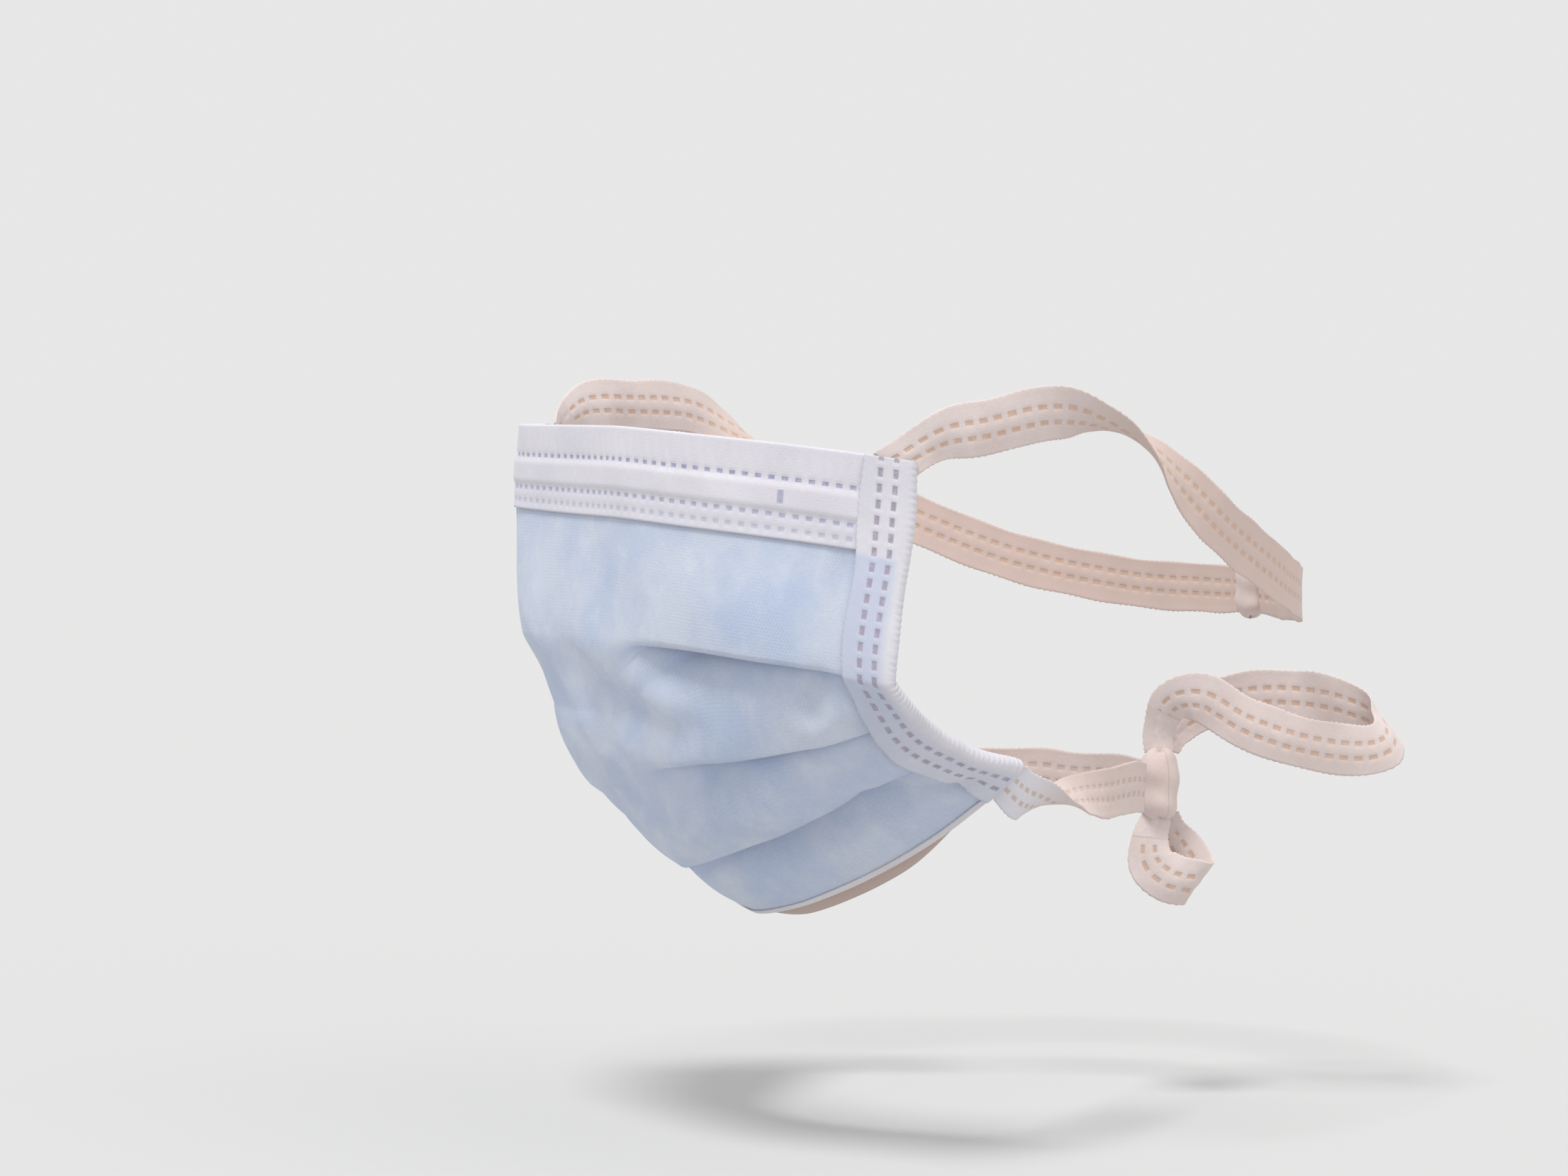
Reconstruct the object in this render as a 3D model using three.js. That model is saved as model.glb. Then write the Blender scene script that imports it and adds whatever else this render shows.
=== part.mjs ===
// Tie-on surgical face mask, worn: a pleated outer cover over an inner lining, bound at both sides
// with tape that goes on as four ties, knotted in pairs behind the head and the neck.
//
// Frame: millimetres, +Z up, the wearer looks along -Y and the wearer's left is +X. The origin is
// the inner face of the top edge on the bridge of the nose.
//
// The cloth is described by two values: across, the distance in the cloth from the middle line,
// positive to the wearer's left; and down, the number of a row of FACE, with fractions between rows.
import * as THREE from 'three';

// ---- Driving dimensions ----
const HALF_WIDTH = 87.5; // half of the mask's flat width
const TAPE = 12.5; // width of the binding and ties once folded
const WALL = 1.0; // every cloth wall
const GAP = 0.3; // air between pieces that touch
const STEP = WALL + GAP; // from one cloth layer to the next
const PLEAT = 11; // depth of each pleat's underlap
const BAND_DEPTH = 22; // front of the top band, from the top edge
const BAND_BACK = 8; // the band behind the top edge
const HEM_FRONT = 2.5;
const HEM_BACK = 4;
const CHANNEL = { from: 8.2, to: 17, height: 0.6 }; // ridge of the nose-wire channel on the band
const LINING_AIR = 0.5; // more air between the cover and the lining, which are not fused
const COLUMNS = 22; // steps across the mask
const TAPE_AIR = 0.15; // more air under the binding and the hem, whose facets are longer

const radians = THREE.MathUtils.degToRad;
const lerp = THREE.MathUtils.lerp;

function smooth(value) {
  const x = Math.min(1, Math.max(0, value));
  return x * x * (3 - 2 * x);
}

function table(columns, rows) {
  return rows.map((row) => Object.fromEntries(columns.map((name, i) => [name, row[i]])));
}

// The mask's face: the middle point of each row, the height of its left and right ends, and how it
// turns back along each cheek: by cheek degrees, from bend millimetres off the middle, over turn.
const FACE = table(
  ['midY', 'midZ', 'leftZ', 'leftCheek', 'leftBend', 'leftTurn',
    'rightZ', 'rightCheek', 'rightBend', 'rightTurn', 'fall'],
  [
    [0.0, 1.0, -6.5, 42, -3, 65, 0.5, 42, 39, 24, 1.6], // top edge
    [-1.5, -20.5, -28.5, 41, -3, 65, -18.5, 42, 38, 24, 1.6], // lower edge of the band
    [-3.5, -49.0, -57.0, 37, -3, 65, -54.0, 42, 30, 28, 1.6], // lip of pleat 1
    [4.0, -83.0, -65.5, 36, -3, 50, -70.0, 44, 16, 32, 2.2], // lip of pleat 2
    [20.5, -107.0, -74.5, 34, -8, 40, -75.0, 42, 6, 28, 1.15], // lip of pleat 3
    [40.0, -117.5, -78.0, 30, -8, 40, -79.0, 40, 6, 28, 1.5], // bottom edge
  ],
);
const BOTTOM_ROW = 5;

// Each pleat's lip is the row of that number. Inside openAt of the middle line it is closed only by
// the share least, and outside shutAt fully; lift is how far it gapes where it is half open.
const PLEATS = table(
  ['row', 'least', 'openAt', 'shutAt', 'lift'],
  [
    [2, 0.0, 6, 72, 1.2],
    [3, 0.0, 8, 70, 1.2],
    [4, 0.72, 5, 62, 1.5],
  ],
);

const TOP_KNOT = { at: [0, 188, -43], half: [4.2, 3.2, 7] };
const BOTTOM_KNOT = { at: [12, 151, -91], half: [4.2, 5, 7] };

// The route of a tape: its middle, measured from a point, and the direction of its width, turn
// degrees round from +X and rise degrees up. It keeps the share wide of its width where crumpled.
const ROUTE_COLUMNS = ['x', 'y', 'z', 'turn', 'rise', 'wide'];

function route(rows, from = [0, 0, 0]) {
  return table(ROUTE_COLUMNS, rows).map(({ x, y, z, turn, rise, wide }) => {
    const half = (wide * TAPE) / 2;
    const level = half * Math.cos(radians(rise));
    return {
      x: from[0] + x,
      y: from[1] + y,
      z: from[2] + z,
      wx: level * Math.cos(radians(turn)),
      wy: level * Math.sin(radians(turn)),
      wz: half * Math.sin(radians(rise)),
    };
  });
}

// The wearer's left ties, turned over once on their way to the knots.
const TOP_TIE = route([
  [74, 46, -1, -90, 55, 0.9],
  [76, 57, 1, -90, 65, 1],
  [79, 70, 4, -75, 65, 1],
  [80, 80, 4, -40, 50, 1],
  [80, 91, 1, 5, 5, 0.95],
  [79, 101, -4, 10, -45, 0.9],
  [76, 113, -13, -60, -60, 1],
  [71, 129, -24, -90, -65, 1],
  [59, 154, -36, -90, -80, 1],
  [38, 176, -42, -90, -90, 1],
  [16, 186, -43, -90, -90, 1],
  [5, 188, -43, -90, -90, 0.9],
]);
const BOTTOM_TIE = route([
  [59, 78, -86, 50, 70, 0.95],
  [54, 86, -88, 40, 40, 0.9],
  [49, 94, -89, 30, 0, 0.9],
  [42, 106, -89, 30, -50, 0.9],
  [32, 121, -90, 0, -80, 0.95],
  [22, 136, -90, -90, -85, 1],
  [17, 143, -91, -90, -90, 1],
]);
// The far tie goes on past the middle of the neck to the same knot.
const FAR_BOTTOM_END = route([
  [-5, 150, -91, -90, -90, 1],
  [7, 151, -91, -90, -90, 0.9],
]);
// The loops of the bow, measured from their knot: one folds over and trails back, one hangs.
const LOOP_BACK = route([
  [0, 0, 8, -120, 0, 0.55],
  [0, 0, 14, -120, 10, 0.6],
  [4, 1, 21, -120, 45, 0.85],
  [11, 6, 22, -120, 80, 1],
  [18, 14, 16, 60, 75, 1],
  [25, 27, 11, 60, 80, 1],
  [31, 40, 9, 60, 90, 1],
  [32, 48, 11, -120, 65, 1],
  [26, 50, 16, -120, 50, 1],
  [16, 40, 21, -120, 75, 1],
  [7, 26, 22, -120, 85, 1],
  [1, 14, 19, -120, 65, 0.9],
  [-3, 7, 13, -120, 25, 0.7],
  [-4, 5, 8, -120, 0, 0.55],
], BOTTOM_KNOT.at);
const LOOP_DOWN = route([
  [0, -1, -8, 60, 0, 0.55],
  [0, -3, -14, 60, 0, 0.75],
  [1, -3, -20, 60, 20, 0.95],
  [4, 1, -24, 60, 35, 1],
  [6, 7, -25, 60, 50, 1],
  [3, 9, -23, 60, 50, 0.95],
  [-1, 7, -17, 60, 35, 0.9],
  [-3, 5, -12, 60, 10, 0.7],
  [-3, 4, -8, 60, 0, 0.55],
], BOTTOM_KNOT.at);
const FAR_DROOP = 9; // how much lower the far top tie runs beside the cheek

// ---- The surface of the face ----

// Smooth value between the rows of a table, by a Catmull-Rom spline through each column.
function between(rows, place) {
  const last = rows.length - 1;
  const i = Math.min(Math.max(Math.floor(place), 0), last - 1);
  const f = place - i;
  const value = {};
  for (const name of Object.keys(rows[0])) {
    const b = rows[i][name];
    const c = rows[i + 1][name];
    const a = i > 0 ? rows[i - 1][name] : 2 * b - c;
    const d = i + 2 <= last ? rows[i + 2][name] : 2 * c - b;
    value[name] = 0.5 * (2 * b + (c - a) * f + (2 * a - 5 * b + 4 * c - d) * f * f
      + (3 * b - a - 3 * c + d) * f * f * f);
  }
  return value;
}

// The point of the face at across and down, walked out from the middle line so that the row keeps
// its length in the cloth.
function facePoint(across, down) {
  const row = between(FACE, down);
  const side = across < 0 ? 'right' : 'left';
  const strides = 24;
  const stride = Math.abs(across) / strides;
  const drop = row[`${side}Z`] - row.midZ;
  let x = 0;
  let y = row.midY;
  let z = row.midZ;
  for (let i = 0; i < strides; i += 1) {
    const middle = (i + 0.5) * stride;
    const nextZ = row.midZ + drop * ((i + 1) * stride / HALF_WIDTH) ** row.fall;
    const run = Math.sqrt(Math.max(stride ** 2 - (nextZ - z) ** 2, 0.2 * stride ** 2));
    const turned = radians(row[`${side}Cheek`])
      * smooth((middle - row[`${side}Bend`]) / row[`${side}Turn`]);
    x += Math.cos(turned) * run;
    y += Math.sin(turned) * run;
    z = nextZ;
  }
  return new THREE.Vector3(Math.sign(across) * x, y, z);
}

// The face at across and down, moved out of the face by out millimetres.
function placed(across, down, out) {
  const d = 0.02;
  const sideways = facePoint(across + 1, down).sub(facePoint(across - 1, down));
  const downwards = facePoint(across, down + d).sub(facePoint(across, down - d));
  const outwards = downwards.cross(sideways).normalize();
  return facePoint(across, down).addScaledVector(outwards, out);
}

// Length of face between two rows at across.
function rowLength(across, from, to) {
  return facePoint(across, from).distanceTo(facePoint(across, to));
}

// ---- Closed walls from grids of points ----

function gridNormal(grid, i, j) {
  const a = grid[Math.min(i + 1, grid.length - 1)][j];
  const b = grid[Math.max(i - 1, 0)][j];
  const c = grid[i][Math.min(j + 1, grid[i].length - 1)];
  const d = grid[i][Math.max(j - 1, 0)];
  return a.clone().sub(b).cross(c.clone().sub(d)).normalize();
}

// A closed wall of the given thickness with the grid as its middle surface.
function wall(grid, thickness = WALL) {
  const rows = grid.length;
  const columns = grid[0].length;
  const positions = [];
  for (const way of [0.5, -0.5]) {
    for (let i = 0; i < rows; i += 1) {
      for (let j = 0; j < columns; j += 1) {
        const point = grid[i][j].clone();
        point.addScaledVector(gridNormal(grid, i, j), way * thickness);
        positions.push(point.x, point.y, point.z);
      }
    }
  }
  const indices = [];
  const quad = (a, b, c, d) => indices.push(a, b, c, a, c, d);
  const front = (i, j) => i * columns + j;
  const back = (i, j) => rows * columns + front(i, j);
  for (let i = 0; i + 1 < rows; i += 1) {
    for (let j = 0; j + 1 < columns; j += 1) {
      quad(front(i, j), front(i + 1, j), front(i + 1, j + 1), front(i, j + 1));
      quad(back(i, j), back(i, j + 1), back(i + 1, j + 1), back(i + 1, j));
    }
    quad(front(i + 1, 0), front(i, 0), back(i, 0), back(i + 1, 0));
    const j = columns - 1;
    quad(front(i, j), front(i + 1, j), back(i + 1, j), back(i, j));
  }
  for (let j = 0; j + 1 < columns; j += 1) {
    quad(front(0, j), front(0, j + 1), back(0, j + 1), back(0, j));
    const i = rows - 1;
    quad(front(i, j + 1), front(i, j), back(i, j), back(i, j + 1));
  }
  const geometry = new THREE.BufferGeometry();
  geometry.setAttribute('position', new THREE.Float32BufferAttribute(positions, 3));
  geometry.setIndex(indices);
  geometry.computeVertexNormals();
  return geometry;
}

// A grid across the mask between two distances, with each column's points from profile(across).
function gridAcross(from, to, steps, profile) {
  const grid = [];
  for (let i = 0; i <= steps; i += 1) {
    const across = lerp(from, to, i / steps);
    grid.push(profile(across).map(({ down, out }) => placed(across, down, out)));
  }
  return grid;
}

// ---- Outer cover ----

// How far a pleat is closed at across, from 0, opened flat, to 1, closed.
function closure(pleat, across) {
  const shut = smooth((Math.abs(across) - pleat.openAt) / (pleat.shutAt - pleat.openAt));
  return lerp(pleat.least, 1, shut);
}

// How much deeper than its closed layers a half-open pleat reaches into the mask.
function gape(pleat, across) {
  const shut = closure(pleat, across);
  return shut * (1 + pleat.lift * Math.sin(Math.PI * shut));
}

// A closed pleat in section, as along and out from its lip, with the place each point takes along
// the cloth when the pleat is opened flat.
const BEND = STEP / 2;
const FOLD = table(
  ['along', 'out', 'flat'],
  [
    [-BEND, 0, -BEND],
    [0, -BEND, 0.3],
    [-BEND, -STEP, 1.4],
    [-PLEAT / 2, -STEP, PLEAT / 2],
    [BEND - PLEAT, -STEP, PLEAT - 1],
    [-PLEAT, -1.5 * STEP, PLEAT],
    [BEND - PLEAT, -2 * STEP, PLEAT + 1],
    [-PLEAT / 2, -2 * STEP, PLEAT + 4],
    [0.5, -1.9 * STEP, PLEAT + 8],
  ],
);

function foldProfile(pleat, across) {
  const shut = closure(pleat, across);
  const depth = gape(pleat, across);
  const above = rowLength(across, pleat.row - 1, pleat.row);
  const below = rowLength(across, pleat.row, pleat.row + 1);
  return FOLD.map(({ along, out, flat }) => {
    const place = lerp(flat, along, shut);
    return { down: pleat.row + place / (place < 0 ? above : below), out: out * depth };
  });
}

function coverProfile(across) {
  const points = [0.07, 0.45, 0.9, 1.3, 1.6, 1.85].map((down) => ({ down, out: 0 }));
  for (const pleat of PLEATS) {
    points.push(...foldProfile(pleat, across));
    const last = points[points.length - 1];
    for (const share of [0.35, 0.7]) {
      const down = lerp(last.down, pleat.row + 0.96, share);
      points.push({ down, out: last.out * (1 - share) ** 2 });
    }
  }
  points.push({ down: BOTTOM_ROW - 0.06, out: 0 });
  return points;
}

function outerCover() {
  const edge = HALF_WIDTH - 2.6;
  return wall(gridAcross(-edge, edge, COLUMNS, coverProfile));
}

// ---- Inner lining ----

// The lining clears the pleats: at each stop its depth behind the face is that of a pleat's folds.
function liningDepth(across, down) {
  const folds = PLEATS.map((pleat) => 2.05 * STEP * gape(pleat, across));
  const stops = [
    [0, 0], [1.25, 0], [1.5, folds[0]], [2.1, folds[0]], [2.5, folds[1]], [3.1, folds[1]],
    [3.5, folds[2]], [4.2, folds[2]], [BOTTOM_ROW - 0.2, STEP], [BOTTOM_ROW + 1, STEP],
  ];
  const next = Math.max(1, stops.findIndex(([place]) => place > down));
  const [placeA, depthA] = stops[next - 1];
  const [placeB, depthB] = stops[next];
  return STEP + LINING_AIR + lerp(depthA, depthB, (down - placeA) / (placeB - placeA));
}

// The lining stands below the hem under the left jaw by this share of the last row.
function liningEnd(across) {
  return BOTTOM_ROW + 0.05 + 0.2 * smooth((across + 10) / 25) * smooth((72 - across) / 30);
}

function liningProfile(across) {
  const start = (BAND_BACK + 1.2) / BAND_DEPTH;
  const stops = [
    start, 0.8, 1.25, 1.5, 2.1, 2.5, 3.1, 3.5, 3.85, 4.2, 4.5, 4.8,
    liningEnd(across),
  ];
  return stops.map((down) => ({ down, out: -liningDepth(across, down) }));
}

const INSIDE_TAPE = HALF_WIDTH - TAPE - 0.9;

function innerLining() {
  return wall(gridAcross(-INSIDE_TAPE, INSIDE_TAPE, COLUMNS, liningProfile));
}

// ---- Top band and bottom hem ----

function bandProfile() {
  const front = [BAND_DEPTH, CHANNEL.to, 12.6, CHANNEL.from, 0.6];
  const points = front.map((depth) => {
    const ridge = Math.sin(Math.PI * (depth - CHANNEL.from) / (CHANNEL.to - CHANNEL.from));
    const inChannel = depth > CHANNEL.from && depth < CHANNEL.to;
    return { down: depth / BAND_DEPTH, out: STEP + (inChannel ? CHANNEL.height * ridge : 0) };
  });
  const turn = 0.9 * STEP / BAND_DEPTH;
  points.push({ down: -0.6 * turn, out: 0.75 * STEP });
  points.push({ down: -turn, out: 0 });
  points.push({ down: -0.6 * turn, out: -0.75 * STEP });
  for (const depth of [0.6, BAND_BACK]) {
    points.push({ down: depth / BAND_DEPTH, out: -STEP });
  }
  return points;
}

function topBand() {
  return wall(gridAcross(-INSIDE_TAPE, INSIDE_TAPE, COLUMNS, bandProfile));
}

function hemProfile(across) {
  const length = rowLength(across, BOTTOM_ROW - 1, BOTTOM_ROW);
  const layer = STEP + TAPE_AIR;
  const section = [
    [-HEM_FRONT, layer], [0, layer], [0.7 * layer, 0.7 * layer], [layer, 0],
    [0.7 * layer, -0.7 * layer], [0, -layer], [-HEM_BACK, -layer],
  ];
  return section.map(([along, out]) => ({ down: BOTTOM_ROW + along / length, out }));
}

function bottomHem() {
  return wall(gridAcross(-INSIDE_TAPE, INSIDE_TAPE, COLUMNS, hemProfile));
}

// ---- Bindings ----

const BINDING_ROWS = [0, 0.4, 0.8, 1.2, 1.55, 1.8, 2, 2.2, 2.45, 2.7, 3, 3.5, 4, 4.5, 5];

// The tape's section round the side edge: across and out, for the tape over the closed pleats.
function bindingSection() {
  const inner = HALF_WIDTH - TAPE;
  const top = STEP + TAPE_AIR;
  const bottom = -3 * STEP - TAPE_AIR;
  const middle = (top + bottom) / 2;
  const radius = (top - bottom) / 2;
  const points = [[inner, top], [inner + 4.5, top], [HALF_WIDTH - radius, top]];
  for (const angle of [45, 0, -45]) {
    const a = radians(angle);
    points.push([HALF_WIDTH - radius + radius * Math.cos(a), middle + radius * Math.sin(a)]);
  }
  points.push([HALF_WIDTH - radius, bottom], [inner + 4.5, bottom], [inner, bottom]);
  return points;
}

function binding(side) {
  const grid = BINDING_ROWS.map((down) => bindingSection()
    .map(([across, out]) => placed(side * across, down, out)));
  return wall(side > 0 ? grid.reverse() : grid);
}

// ---- Ties, loops and knots ----

// The first station of a tie: on the end of the binding, clear of it by the gap.
function tieStart(side, down, innerEdgeFirst) {
  const middleOut = -STEP;
  const inner = placed(side * (HALF_WIDTH - TAPE + 1), down, middleOut);
  const outer = placed(side * (HALF_WIDTH - 1), down, middleOut);
  const at = inner.clone().add(outer).multiplyScalar(0.5);
  const half = inner.sub(outer).multiplyScalar(innerEdgeFirst ? 0.5 : -0.5);
  return { x: at.x, y: at.y, z: at.z, wx: half.x, wy: half.y, wz: half.z };
}

function mirrored(stations) {
  return stations.map((s) => ({ ...s, x: -s.x, wx: -s.wx }));
}

// The right tie is the left one mirrored, led over to its own corner of the mask by its first five.
function farTie(start, nearStart, stations, droop = 0) {
  const shift = { x: start.x + nearStart.x, y: start.y - nearStart.y, z: start.z - nearStart.z };
  return [start, ...mirrored(stations).map((s, i) => {
    const share = 1 - smooth((i + 1) / 5);
    const fall = droop * smooth((i - 1) / 3) * (1 - smooth((i - 4) / 4));
    return { ...s, x: s.x + shift.x * share, y: s.y + shift.y * share, z: s.z + shift.z * share - fall };
  })];
}

// A flat tape through the stations. Its width stays square to its run as far as squareness says.
function ribbon(stations, steps = 4, squareness = 0.7) {
  const count = (stations.length - 1) * steps;
  const samples = [];
  for (let i = 0; i <= count; i += 1) {
    samples.push(between(stations, Math.min(i / steps, stations.length - 1 - 1e-9)));
  }
  const middles = samples.map((s) => new THREE.Vector3(s.x, s.y, s.z));
  const grid = middles.map((middle, i) => {
    const run = middles[Math.min(i + 1, count)].clone().sub(middles[Math.max(i - 1, 0)]).normalize();
    const half = new THREE.Vector3(samples[i].wx, samples[i].wy, samples[i].wz);
    const length = half.length();
    half.addScaledVector(run, -squareness * half.dot(run)).setLength(length);
    return [middle.clone().add(half), middle.clone().sub(half)];
  });
  return wall(grid);
}

function knot({ at, half }) {
  const geometry = new THREE.SphereGeometry(1, 12, 8);
  geometry.scale(...half);
  geometry.translate(...at);
  return geometry;
}

// ---- Assembly ----

function cloth(color) {
  return new THREE.MeshStandardMaterial({ color, roughness: 0.85, metalness: 0 });
}

const mask = new THREE.Group();

function add(name, geometry, color) {
  const mesh = new THREE.Mesh(geometry, cloth(color));
  mesh.name = name;
  mask.add(mesh);
}

const BLUE = 0xc3d0e4;
const WHITE = 0xdedbe3;
const TAPE_WHITE = 0xe0d4ce;

add('outer_cover', outerCover(), BLUE);
add('inner_lining', innerLining(), WHITE);
add('top_band', topBand(), WHITE);
add('bottom_hem', bottomHem(), WHITE);

const TOP_START = -0.2;
const BOTTOM_START = BOTTOM_ROW + 0.08;
for (const [name, side] of [['left', 1], ['right', -1]]) {
  add(`${name}_binding`, binding(side), WHITE);
  const near = side > 0;
  const top = tieStart(side, TOP_START, true);
  const bottom = tieStart(side, BOTTOM_START, false);
  const topStations = near
    ? [top, ...TOP_TIE]
    : farTie(top, tieStart(1, TOP_START, true), TOP_TIE, FAR_DROOP);
  const bottomStations = near
    ? [bottom, ...BOTTOM_TIE]
    : [...farTie(bottom, tieStart(1, BOTTOM_START, false), BOTTOM_TIE), ...FAR_BOTTOM_END];
  add(`${name}_top_tie`, ribbon(topStations), TAPE_WHITE);
  add(`${name}_bottom_tie`, ribbon(bottomStations), TAPE_WHITE);
}
add('top_knot', knot(TOP_KNOT), TAPE_WHITE);
add('bottom_knot', knot(BOTTOM_KNOT), TAPE_WHITE);
add('bow_loop_back', ribbon(LOOP_BACK), TAPE_WHITE);
add('bow_loop_down', ribbon(LOOP_DOWN), TAPE_WHITE);

export default mask;
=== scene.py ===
"""Looks of the tie-on surgical face mask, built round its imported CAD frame.

The cloth is described as in the CAD part: across is the distance in the cloth from the middle line,
positive to the wearer's left, and down is the number of a row of FACE, with fractions between rows.
Shapes are worked out in millimetres and turned into metres when a mesh is made.
"""
import math

import bpy
import numpy as np
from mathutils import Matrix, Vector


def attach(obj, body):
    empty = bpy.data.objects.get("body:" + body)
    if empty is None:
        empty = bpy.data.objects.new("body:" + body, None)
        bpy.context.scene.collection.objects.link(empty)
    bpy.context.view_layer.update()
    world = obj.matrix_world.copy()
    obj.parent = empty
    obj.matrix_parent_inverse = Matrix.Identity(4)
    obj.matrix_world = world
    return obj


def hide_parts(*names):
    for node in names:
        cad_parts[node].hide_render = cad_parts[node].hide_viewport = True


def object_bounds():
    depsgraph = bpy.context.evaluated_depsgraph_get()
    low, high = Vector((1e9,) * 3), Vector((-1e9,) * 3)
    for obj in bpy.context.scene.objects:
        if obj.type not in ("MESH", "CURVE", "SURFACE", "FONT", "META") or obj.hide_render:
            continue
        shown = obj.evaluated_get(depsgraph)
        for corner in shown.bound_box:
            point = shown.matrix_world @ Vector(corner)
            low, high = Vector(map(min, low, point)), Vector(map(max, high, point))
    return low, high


MM = 0.001

# ---- Driving dimensions, in millimetres ----
HALF_WIDTH = 87.5
TAPE = 12.5
PLEAT = 11
BAND_DEPTH = 22
BAND_BACK = 8
HEM_FRONT = 1.2
HEM_BACK = 4
LAYER = 0.8  # from one layer of a closed pleat to the next
PLY = 0.35  # thickness of the face's cloth
TAPE_PLY = 0.3
BAND_OUT = 0.6  # the band over the cover
TAPE_OUT = 1.15  # the binding over the band
CHANNEL_FROM, CHANNEL_TO, CHANNEL_HEIGHT = 8.8, 16.2, 0.45
FLAT_HEIGHT = 157  # the face's cloth with its pleats opened

# ---- The face: the same rows as the CAD part ----
FACE_COLUMNS = ("midY", "midZ", "leftZ", "leftCheek", "leftBend", "leftTurn",
                "rightZ", "rightCheek", "rightBend", "rightTurn", "fall")
FACE = [
    (0.0, 1.0, -6.5, 42, -3, 65, 0.5, 42, 39, 24, 1.6),  # top edge
    (-1.5, -20.5, -28.5, 41, -3, 65, -18.5, 42, 38, 24, 1.6),  # lower edge of the band
    (-3.5, -49.0, -57.0, 37, -3, 65, -54.0, 42, 30, 28, 1.6),  # lip of pleat 1
    (4.0, -83.0, -65.5, 36, -3, 50, -70.0, 44, 16, 32, 2.2),  # below the lip of pleat 2
    (20.5, -107.0, -74.5, 34, -8, 40, -75.0, 42, 6, 28, 1.15),  # below the lip of pleat 3
    (40.0, -117.5, -78.0, 30, -8, 40, -79.0, 40, 6, 28, 1.5),  # bottom edge
]
BOTTOM_ROW = 5
SIDE_CORNERS = 0.8  # share of straight lines between the rows at the sides, against smooth ones
STRIDES = 24

# Each pleat's lip is the row of that number, raised by raised of a row and by edge more at the side.
# It is closed by the share least up to leftOpen (or rightOpen) from the middle line and fully from
# leftShut (or rightShut); lift is how far it gapes between there and the binding.
PLEAT_COLUMNS = ("row", "raised", "edge", "least", "leftOpen", "leftShut", "rightOpen", "rightShut",
                 "lift")
PLEATS = [
    (2, 0.0, 0.0, 0.0, 0, 40, 44, 72, 3.2),
    (3, 0.12, 0.0, 0.0, -2, 42, 34, 70, 2.6),
    (4, 0.06, 0.24, 0.8, 5, 50, 20, 62, 4.2),
]

GAPE_END = 13  # a pleat's gape ends this far inside the edge, before the binding
OPEN_DEPTH = 1.9  # how deep the cloth below a lip lies where the pleat is open, in layers

# A closed pleat in section: along and out from its lip, and its place in the cloth opened flat.
BEND = LAYER / 2
FOLD = [
    (-BEND, 0, -BEND),
    (0, -BEND, 0.3),
    (-BEND, -LAYER, 1.4),
    (-PLEAT / 2, -LAYER, PLEAT / 2),
    (BEND - PLEAT, -LAYER, PLEAT - 1),
    (-PLEAT, -1.5 * LAYER, PLEAT),
    (BEND - PLEAT, -2 * LAYER, PLEAT + 1),
    (-PLEAT / 2, -2 * LAYER, PLEAT + 4),
    (0.5, -1.9 * LAYER, PLEAT + 8),
]

# Soft ridges and dents of the worn cloth, each along a line from (s0, d0) to (s1, d1) of across and
# down; above and below are its widths to either side, and height is positive out of the face.
# Columns: s0, d0, s1, d1, above, below, height.
RELIEF = [
    (-6, 2.12, 24, 2.5, 8, 2.4, 1.5),  # ridge running down from where pleat 1 opens
    (2, 2.42, 30, 2.62, 3, 6, -1.2),  # hollow beside it
    (-36, 1.9, -16, 2.6, 9, 3, 0.9),  # long soft ridge near the nose
    (-14, 2.2, -2, 2.9, 5, 5, -0.8),
    (-34, 3.16, -18, 3.2, 4, 2, 0.9),  # nick at the far end of pleat 2
    (-4, 3.18, 36, 3.1, 4, 5, -1.3),  # shade under pleat 2
    (-8, 3.5, 40, 3.4, 7, 7, 0.9),
    (68, 2.1, 62, 2.5, 2.5, 3.5, -1.6),  # pucker by the binding under pleat 1
    (74, 2.55, 62, 2.75, 4, 4, 0.9),
    (73, 3.15, 60, 3.4, 3.5, 3.5, -1.0),
    (60, 3.86, 76, 4.5, 3, 4, -1.8),  # gape of the last panel by the binding
    (30, 4.5, 62, 4.5, 5, 5, 1.2),
    (72, 1.15, 71, 1.95, 3, 3, -0.7),  # hollow beside the binding
    (20, 1.35, 52, 1.65, 9, 9, 0.6),
    (-10, 1.5, 12, 1.7, 9, 9, -0.5),
]

# ---- Weld marks, in millimetres of cloth: pitch along, half sizes, and each row's place across ----
BAND_PITCH = 3.3
BAND_ROWS = (8.2, 16.8, 20.0)
BAND_MARK = (0.78, 0.52)
TAPE_PITCH = 3.65
TAPE_ROWS = (-1.85, 1.85)
TAPE_MARK = (1.05, 0.62)
CRUMPLED = 0.74  # tape narrower than this share of its width shows no marks
CRUMPLED_SHIFT = 20  # its place in the cloth is led this far past them

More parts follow.
